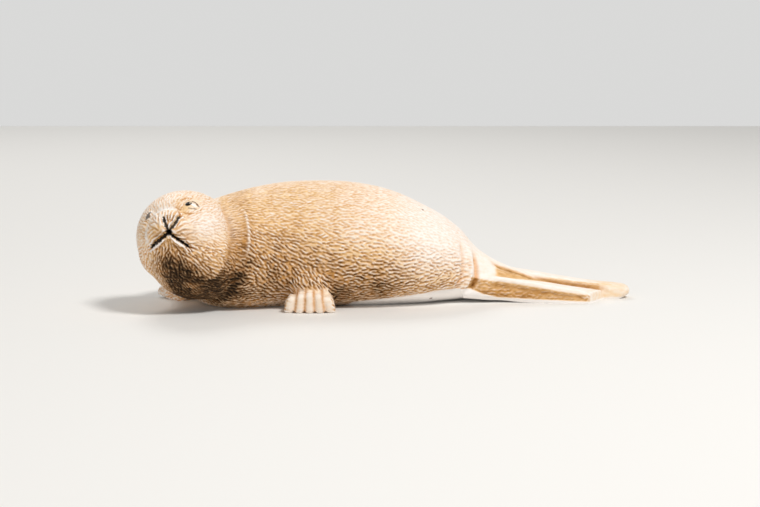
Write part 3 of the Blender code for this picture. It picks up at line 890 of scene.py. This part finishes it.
def finer_face(skin):
    """Splits the faces near the painted lines of the face."""
    tree = BVHTree.FromObject(skin, bpy.context.evaluated_depsgraph_get())
    points = rows_of(skin.data, "co") / MM
    middle = MUZZLE_PLACE[:2]
    away = np.full(len(points), np.inf)
    for path in (*NOSE_PATHS, *MOUTH_PATHS, *NOSE_CREASES):
        away = np.minimum(away, along_path(points, drawn(tree, path, middle))[0])
    beside_pupil = (NEAR_EYE[0] - FINE_BESIDE_PUPIL, NEAR_EYE[1])
    for path in (SCLERA, LID, UNDER_LID, FAR_EYE, (beside_pupil, NEAR_EYE)):
        away = np.minimum(away, along_path(points, drawn(tree, path))[0])
    chosen = away < FINER_REACH
    mesh = bmesh.new()
    mesh.from_mesh(skin.data)
    edges = [edge for edge in mesh.edges if chosen[edge.verts[0].index] and chosen[edge.verts[1].index]]
    bmesh.ops.subdivide_edges(mesh, edges=edges, cuts=1, use_grid_fill=True)
    mesh.to_mesh(skin.data)
    mesh.free()


def stroke_of_paint(points, path, width, strength):
    """A painted line whose width wavers a little as by hand, and which thins at its ends."""
    nearest, walked, length = along_path(points, path)
    inward = np.clip(np.minimum(walked, length - walked) / FACE_FADE, 0.0, 1.0)
    taper = THIN_END + (1 - THIN_END) * inward
    for size, pace in WAVER:
        taper += size * np.sin(pace * walked + WAVER_SHIFT * width)
    return strength * (1 - step_up(nearest, width * taper - PAINT_SOFT, width * taper + PAINT_SOFT))


def spot(points, place, radius, soft=SPOT_SOFT):
    """1 inside a round spot of the face, seen from straight in front."""
    side, up, forward = on_head(points).T
    away = np.hypot(side - place[0], up - place[1])
    return (1 - step_up(away, radius - soft, radius + soft)) * (forward > 0)


def painted(points, tree):
    """Ink, white and brown of the face: weights for every point."""
    middle = MUZZLE_PLACE[:2]
    ink = spot(points, np.array(PIT_PLACE) + middle, PIT_RADIUS, PIT_SOFT)
    inked = [(drawn(tree, path, middle), NOSE_LINE) for path in NOSE_PATHS]
    inked.append((drawn(tree, NOSTRIL_PATH, middle), NOSTRIL_LINE))
    inked += [(drawn(tree, path, middle), line) for path, line in zip(MOUTH_PATHS, MOUTH_LINES)]
    inked.append((drawn(tree, FAR_EYE), FAR_EYE_LINE))
    for path, line in inked:
        ink = np.maximum(ink, stroke_of_paint(points, path, *line))
    # The painted glint leaves a highlight in the pupil's ink.
    painted_glint = PAINTED_GLINT_STRENGTH * spot(points, *PUPIL_PAINTED_GLINT)
    ink = np.maximum(ink, spot(points, NEAR_EYE, PUPIL_RADIUS) * (1 - painted_glint))
    white = stroke_of_paint(points, drawn(tree, SCLERA), *SCLERA_LINE)
    for side, first, last, *line in LIP_LINES:
        lip = drawn(tree, np.array(MOUTH_PATHS[side]) - (0.0, LIP_STEP), middle)
        white = np.maximum(white, stroke_of_paint(points, lip[first:last], *line))
    # The painted glint of the far eye.
    white = np.maximum(white, spot(points, FAR_PAINTED_GLINT, FAR_PAINTED_GLINT_RADIUS))
    brown = stroke_of_paint(points, drawn(tree, LID), *LID_LINE)
    brown = np.maximum(brown, stroke_of_paint(points, drawn(tree, UNDER_LID), *UNDER_LID_LINE))
    for crease in NOSE_CREASES:
        brown = np.maximum(brown, stroke_of_paint(points, drawn(tree, crease, middle), *CREASE_LINE))
    for place, radius, strength in SPECKS:
        away = np.linalg.norm(points - np.array(from_the_side(tree, [place], -1)[0]), axis=1)
        edge = (radius + SPECK_EDGE[0], radius + SPECK_EDGE[1])
        brown = np.maximum(brown, strength * (1 - step_up(away, *edge)))
    return ink, white, brown


def curvature(mesh, points, normals):
    """How hollow the skin is at each point: above 0 in a groove, below 0 on a crest."""
    ends = np.empty(len(mesh.edges) * 2, np.int32)
    mesh.edges.foreach_get("vertices", ends)
    first, second = ends.reshape(-1, 2).T
    count = np.bincount(ends, minlength=len(points))

    def around(values):
        from_first = np.bincount(first, values[second], len(points))
        return (from_first + np.bincount(second, values[first], len(points))) / count

    middle = np.stack([around(points[:, k]) for k in range(3)], axis=1)
    length = np.linalg.norm(points[first] - points[second], axis=1)
    size = (np.bincount(first, length, len(points)) + np.bincount(second, length, len(points))) / count
    made = np.sum((middle - points) * normals, axis=1) / size**2
    for _ in range(CURVATURE_PASSES):
        made = 0.5 * made + 0.5 * around(made)
    return made


def body_wash_and_shade(points, where):
    """Where the brown wash lies thicker or thinner over the body, made heavier low down as painted shade."""
    x, y, z = points.T
    wash_and_shade = np.zeros(len(points))
    for place, reach, amount in WASH_AND_SHADE:
        wash_and_shade += amount * np.exp(-((np.linalg.norm(points - np.array(place), axis=1) / reach) ** 2))
    side, up, ahead = on_head(points).T
    for across, high, reach, amount in FACE_WASH:
        away = np.hypot(side - across, up - high)
        wash_and_shade += amount * np.exp(-((away / reach) ** 2)) * step_up(ahead, *FACE_FRONT)
    radius = np.hypot(x - HEAD_PLACE[0], z - HEAD_PLACE[2])
    starts, ends, back, near, amount = NECK_WASH
    behind = step_up(x, HEAD_PLACE[0] + back[0], HEAD_PLACE[0] + back[1]) * step_up(-y, *near)
    wash_and_shade += amount * step_up(radius, *starts) * (1 - step_up(radius, *ends)) * behind
    wash_and_shade = np.clip(wash_and_shade + BASE_WASH, 0.0, 1.0) * (1 - where["tail"]) * (1 - TOES_CLEAN * where["toes"])
    side_wash = (SIDE_WASH + LOW_SIDE_WASH * where["low_side"]) * where["side"]
    plain_wash = TAIL_WASH * where["tail"] + TIP_WASH * where["tip"]
    tail = np.maximum.reduce([side_wash, LEAF_WASH * where["leaf"], plain_wash])
    return np.maximum(wash_and_shade, tail) * (1 - where["band"])


def paleness(where, painted_sheen):
    """Where the wash was wiped off and the bare ivory shows, and where painted highlights lie: the sheen on
    ridges, the top of the rump and the cheek.
    """
    tail = where["tail"] * (TAIL_PALE - TIP_CLEAR * where["tip"])
    pale = np.maximum.reduce([where["band"], where["rim"] * RIM_PALE, tail, where["toes"] * TOES_PALE])
    pale *= 1 - np.maximum(where["side"], where["leaf"])
    return np.maximum.reduce([pale, painted_sheen, RUMP_HIGHLIGHT * where["rump"], CHEEK_HIGHLIGHT[2] * where["cheek"]])


def make_pieces(points, skin, fields, ivory):
    """Cuts the skin into pieces across X, with its shading unbroken."""
    skin.vertices.foreach_set("co", (points * MM).ravel())
    skin.update()
    normals = rows_of(skin, "normal")
    middles = np.array([face.center.x for face in skin.polygons]) / MM
    cuts = (-np.inf, *SPLITS, np.inf)
    names = ("seal_head", "seal_shoulder", "seal_trunk", "seal_rump", "seal_tail")
    faces = [tuple(face.vertices) for face in skin.polygons]
    for name, low, high in zip(names, cuts, cuts[1:]):
        chosen = [faces[n] for n in np.flatnonzero((middles >= low) & (middles < high))]
        used = np.unique(np.concatenate([np.array(face) for face in chosen]))
        place = np.full(len(points), -1)
        place[used] = np.arange(len(used))
        data = bpy.data.meshes.new(name)
        data.from_pydata(points[used] * MM, [], [[int(place[v]) for v in face] for face in chosen])
        for field, values in fields.items():
            kept = data.attributes.new(field, "FLOAT", "POINT").data
            kept.foreach_set("value", values[used].astype(np.float32))
        data.polygons.foreach_set("use_smooth", np.ones(len(data.polygons), bool))
        data.normals_split_custom_set_from_vertices(normals[used])
        data.materials.append(ivory)
        piece = placed(name, data)
        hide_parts("seal")
        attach(piece, "root")


def colour(red, green, blue):
    """Linear colour from the 0 to 255 values of a screen."""
    made = []
    for value in (red, green, blue):
        value /= 255
        made.append(value / 12.92 if value <= 0.04045 else ((value + 0.055) / 1.055) ** 2.4)
    return (*made, 1.0)


class Nodes:
    """Short ways to make the nodes of a material or a world."""

    def __init__(self, owner, shader="Principled BSDF"):
        owner.use_nodes = True
        self.tree = owner.node_tree
        self.shader = self.tree.nodes[shader]

    def fill(self, node, inputs):
        """Links the inputs that are given as sockets, and sets the others."""
        for key, value in inputs.items():
            if isinstance(value, bpy.types.NodeSocket):
                self.tree.links.new(value, node.inputs[key])
            else:
                node.inputs[key].default_value = value

    def add(self, kind, inputs=None, **settings):
        node = self.tree.nodes.new(kind)
        for key, value in settings.items():
            setattr(node, key, value)
        self.fill(node, inputs or {})
        return node

    def field(self, name):
        return self.add("ShaderNodeAttribute", attribute_name=name).outputs["Fac"]

    def noise(self, scale, detail=3.0, stretch=(1.0, 1.0, 1.0)):
        place = self.add("ShaderNodeTexCoord").outputs["Object"]
        place = self.add("ShaderNodeMapping", {"Vector": place, "Scale": stretch}).outputs["Vector"]
        made = self.add("ShaderNodeTexNoise", {"Vector": place, "Scale": scale, "Detail": detail})
        return made.outputs["Fac"]

    def calc(self, kind, a, b, clamp=False):
        made = self.add("ShaderNodeMath", {0: a, 1: b}, operation=kind, use_clamp=clamp)
        return made.outputs[0]

    def spread(self, value, low, high, to_low=0.0, to_high=1.0):
        """Turns the values from low to high into those from the one end to the other."""
        made = self.add(
            "ShaderNodeMapRange",
            {"Value": value, "From Min": low, "From Max": high, "To Min": to_low, "To Max": to_high},
        )
        return made.outputs["Result"]

    def ramp(self, value, shades):
        """A colour that runs through these screen colours, at the stops of the wash."""
        made = self.add("ShaderNodeValToRGB", {"Fac": value})
        steps = made.color_ramp.elements
        while len(steps) < len(shades):
            steps.new(0.5)
        for step, place, shade in zip(steps, WASH_STOPS, shades):
            step.position = place
            step.color = colour(*shade)
        return made.outputs["Color"]

    def mix(self, share, first, second):
        """A blend of two colours, which are the sockets 6 and 7 of this node."""
        made = self.add("ShaderNodeMix", {0: share, 6: first, 7: second}, data_type="RGBA")
        return made.outputs[2]


# Colours from a thin wash to a thick one: between the strokes, in them, and on the crests. The darkest stops
# give the painted shade low on the chest and throat. The crests are paler where the patina was wiped off,
# and paler still as a painted highlight.
WASH_STOPS = (0.0, 0.3, 0.65, 0.85, 1.0)
BETWEEN = ((250, 238, 224), (242, 204, 150), (208, 152, 84), (140, 92, 44), (58, 38, 18))
IN_STROKES = ((232, 166, 84), (188, 122, 46), (88, 48, 8), (44, 22, 3), (18, 8, 2))
ON_CRESTS_AND_HIGHLIGHTS = ((255, 251, 248), (255, 246, 238), (252, 234, 214), (228, 194, 154), (112, 84, 54))
BROWN = colour(104, 60, 20)
WHITE = colour(253, 248, 244)
INK = colour(14, 9, 7)
# Each spread: which values count, and what they turn into at both ends.
PATCH_SCALE = 240.0
PATCH_TINT = (0.25, 0.75, 1.18, 0.82)
STREAK_SCALE = 1500.0
STREAK_STRETCH = (0.4, 1.0, 1.0)
STREAK_TINT = (0.3, 0.7, -0.10, 0.10)
STREAK_STAIN = (0.3, 0.7, 0.85, 1.25)
GRAIN_SCALE = 2600.0
GRAIN_DETAIL = 4.0
GRAIN_ROUGHNESS = (0.3, 0.7, 0.32, 0.44)
GRAIN_BUMP = {"Distance": 0.00003, "Strength": 0.5}
CREST = (-0.05, -EDGE_CREST)
PALE_STAIN = (0.2, 0.9, 1.0, 0.45)
HOLLOW_STAIN = 0.8
CUT_ROUGHNESS = 0.25
SPECULAR = 0.10
FIELDS = ("cut", "wash_and_shade", "hollow", "ink", "white", "brown", "pale")


def carved_ivory():
    made = bpy.data.materials.new("carved_ivory_resin")
    nodes = Nodes(made)
    cut, wash_and_shade, hollow, ink, white, brown, pale = (nodes.field(name) for name in FIELDS)
    patches = nodes.noise(PATCH_SCALE)
    streaks = nodes.noise(STREAK_SCALE, stretch=STREAK_STRETCH)
    grain = nodes.noise(GRAIN_SCALE, GRAIN_DETAIL)
    tint = nodes.calc("MULTIPLY", wash_and_shade, nodes.spread(patches, *PATCH_TINT), clamp=True)
    tint = nodes.calc("ADD", tint, nodes.spread(streaks, *STREAK_TINT), clamp=True)
    # Crests take the paler colours, as wiped patina and as a painted highlight.
    body = nodes.mix(nodes.spread(hollow, *CREST), nodes.ramp(tint, BETWEEN), nodes.ramp(tint, ON_CRESTS_AND_HIGHLIGHTS))
    body = nodes.mix(pale, body, WHITE)
    stain = nodes.calc("MULTIPLY", cut, nodes.spread(pale, *PALE_STAIN))
    stain = nodes.calc("MULTIPLY", stain, nodes.spread(streaks, *STREAK_STAIN), clamp=True)
    stain = nodes.calc("MAXIMUM", stain, nodes.calc("MULTIPLY", hollow, HOLLOW_STAIN))
    body = nodes.mix(stain, body, nodes.ramp(tint, IN_STROKES))
    body = nodes.mix(brown, body, BROWN)
    body = nodes.mix(white, body, WHITE)
    body = nodes.mix(ink, body, INK)
    rough = nodes.calc("MULTIPLY", cut, CUT_ROUGHNESS)
    rough = nodes.calc("ADD", nodes.spread(grain, *GRAIN_ROUGHNESS), rough)
    bump = nodes.add("ShaderNodeBump", {"Height": grain, **GRAIN_BUMP}).outputs["Normal"]
    nodes.fill(nodes.shader, {"Base Color": body, "Roughness": rough, "Normal": bump})
    nodes.fill(nodes.shader, {"Specular IOR Level": SPECULAR})
    return made


def dress():
    """The figure's skin: fused forms, carved lines, fur, and the fields that its material reads."""
    trunk = loft("trunk", TRUNK, TRUNK_ROUNDNESS, widest=WIDEST_SHARE)
    chest = ovoid("chest", *CHEST)
    throat = ovoid("throat", *THROAT)
    arms = [forearm(*NEAR_PAW[:2], -1), forearm(*FAR_PAW[:2], 1)]
    body = fused("body", [trunk, chest, throat, *head_pieces(), *arms], BODY_VOXEL, BODY_PASSES)
    flippers = [
        loft("flipper", NEAR_FLIPPER, FLIPPER_ROUNDNESS, cut_slope=FLIPPER_CUT_SLOPE),
        loft("flipper", FAR_FLIPPER, FLIPPER_ROUNDNESS),
    ]
    toes = paw_pieces(*NEAR_PAW) + paw_pieces(*FAR_PAW)
    skin = fused("seal_skin", [body, *flippers, *toes], SKIN_VOXEL, SKIN_PASSES)
    finer_face(skin)
    tree = BVHTree.FromObject(skin, bpy.context.evaluated_depsgraph_get())
    points = rows_of(skin.data, "co") / MM
    normals = rows_of(skin.data, "normal")
    where = regions(points, normals)
    ink, white, brown = painted(points, tree)
    lie = flow(points, normals, where)
    sizes = stroke_sizes(where)
    calm = 1 - spot(points, *EYEBALL_CALM)
    coat = where["coat"] * (1 - np.maximum(ink, white)) * calm
    sites = stroke_sites(points, lie, sizes, coat)
    lift, cut, painted_highlight = cut_strokes(points, normals, lie, sizes, coat * where["vigour"], sites)
    stain, painted_sheen = np.zeros(len(points)), np.zeros(len(points))
    for depth, width, fade, path in lines_of_the_figure(tree):
        strength = strength_near(points, path, width, fade)
        lift -= depth * strength
        if fade and depth > 0:
            narrow = min(1.0, depth / width, (NARROW / width) ** 2)
            stain = np.maximum(stain, strength * GROOVE_STAIN * narrow)
        # A raised ridge of the body gets a painted sheen along its crest.
        elif fade:
            painted_sheen = np.maximum(painted_sheen, strength**3 * RIDGE_PAINTED_SHEEN)
    moved = points + normals * lift[:, None]
    moved[:, 2] = np.maximum(moved[:, 2], 0)
    for hair in HAIR_LINES:
        cut = np.maximum(cut, stroke_of_paint(points, drawn(tree, hair), *HAIR_LINE))
    cut = cut * (1 - painted_sheen)
    cut = np.maximum.reduce([cut, stain * (1 - where["band"]), TOE_STAIN * where["between_toes"]])
    hollow = np.clip(curvature(skin.data, moved, normals) / FULL_HOLLOW, -1, 1) * calm
    # The painted highlights beside the strokes are coloured as crests.
    hollow = np.minimum(hollow, -EDGE_CREST * np.minimum(painted_highlight, 1.0))
    values = (cut, body_wash_and_shade(points, where), hollow, ink, white, brown, paleness(where, painted_sheen))
    fields = dict(zip(FIELDS, values))
    middle = (moved[:, :2].min(axis=0) + moved[:, :2].max(axis=0)) / 2
    moved[:, :2] -= middle
    make_pieces(moved, skin.data, fields, carved_ivory())
    bpy.data.objects.remove(skin)
    return middle


# The floor's half size, shade and roughness. The lamps: place, size, power, tint.
FLOOR = (0.45, colour(236, 234, 230), 0.8)
LAMPS = (
    ("key", (0.24, -0.24, 0.50), 0.14, 2.4, (1.0, 0.99, 0.98)),
    ("rim", (-0.15, 0.40, 0.45), 0.25, 1.0, (1.0, 1.0, 1.0)),
    ("fill", (-0.30, -0.60, 0.12), 0.40, 0.75, (1.0, 1.0, 1.0)),
)
LAMP_AIM = (0, 0, 0.01)
# The sky's strength as a light, and where it is seen.
SKY = (0.93, 0.93, 0.92, 1.0)
SKY_STRENGTH = (0.32, 0.75)

# The camera: X and Z of its aim in mm, lift in degrees, and way off in metres.
CAMERA_AIM = (-0.8, 9.4)
CAMERA_LIFT = 8.0
CAMERA_AWAY = 0.430
LENS = 100.0
SENSOR = 36.0
NEAREST_SEEN = 0.01


def plain(name, shade, roughness):
    made = bpy.data.materials.new(name)
    nodes = Nodes(made)
    nodes.fill(nodes.shader, {"Base Color": shade, "Roughness": roughness})
    return made


def aimed(name, data, place, aim):
    """A lamp or a camera at this place, turned towards the aim."""
    made = placed(name, data)
    made.location = place
    made.rotation_euler = (Vector(aim) - Vector(place)).to_track_quat("-Z", "Y").to_euler()
    return made


def lamp(name, place, size, power, tint):
    data = bpy.data.lights.new(name, "AREA")
    data.shape = "DISK"
    data.size = size
    data.energy = power
    data.color = tint
    aimed(name, data, place, LAMP_AIM)


def stage():
    mesh = bmesh.new()
    bmesh.ops.create_grid(mesh, x_segments=1, y_segments=1, size=FLOOR[0])
    floor = finished("floor", mesh)
    floor.data.materials.append(plain("pale_floor", *FLOOR[1:]))
    for settings in LAMPS:
        lamp(*settings)
    world = bpy.data.worlds.new("studio")
    nodes = Nodes(world, "Background")
    rays = nodes.add("ShaderNodeLightPath")
    seen = rays.outputs["Is Camera Ray"]
    for ray in ("Is Glossy Ray", "Is Transmission Ray"):
        seen = nodes.calc("MAXIMUM", seen, rays.outputs[ray])
    strength = nodes.spread(seen, 0.0, 1.0, *SKY_STRENGTH)
    nodes.fill(nodes.shader, {"Color": SKY, "Strength": strength})
    bpy.context.scene.world = world


def camera(middle):
    """The photograph's view. The middle is where the figure's own origin lies in its working frame."""
    lift = math.radians(CAMERA_LIFT)
    aim = Vector((CAMERA_AIM[0] - middle[0], -middle[1], CAMERA_AIM[1])) * MM
    data = bpy.data.cameras.new("camera")
    data.lens = LENS
    data.sensor_width = SENSOR
    data.clip_start = NEAREST_SEEN
    place = aim + CAMERA_AWAY * Vector((0.0, -math.cos(lift), math.sin(lift)))
    bpy.context.scene.camera = aimed("camera", data, place, aim)


origin = dress()
stage()
camera(origin)
bpy.context.scene.view_settings.view_transform = "Standard"
bpy.context.view_layer.update()
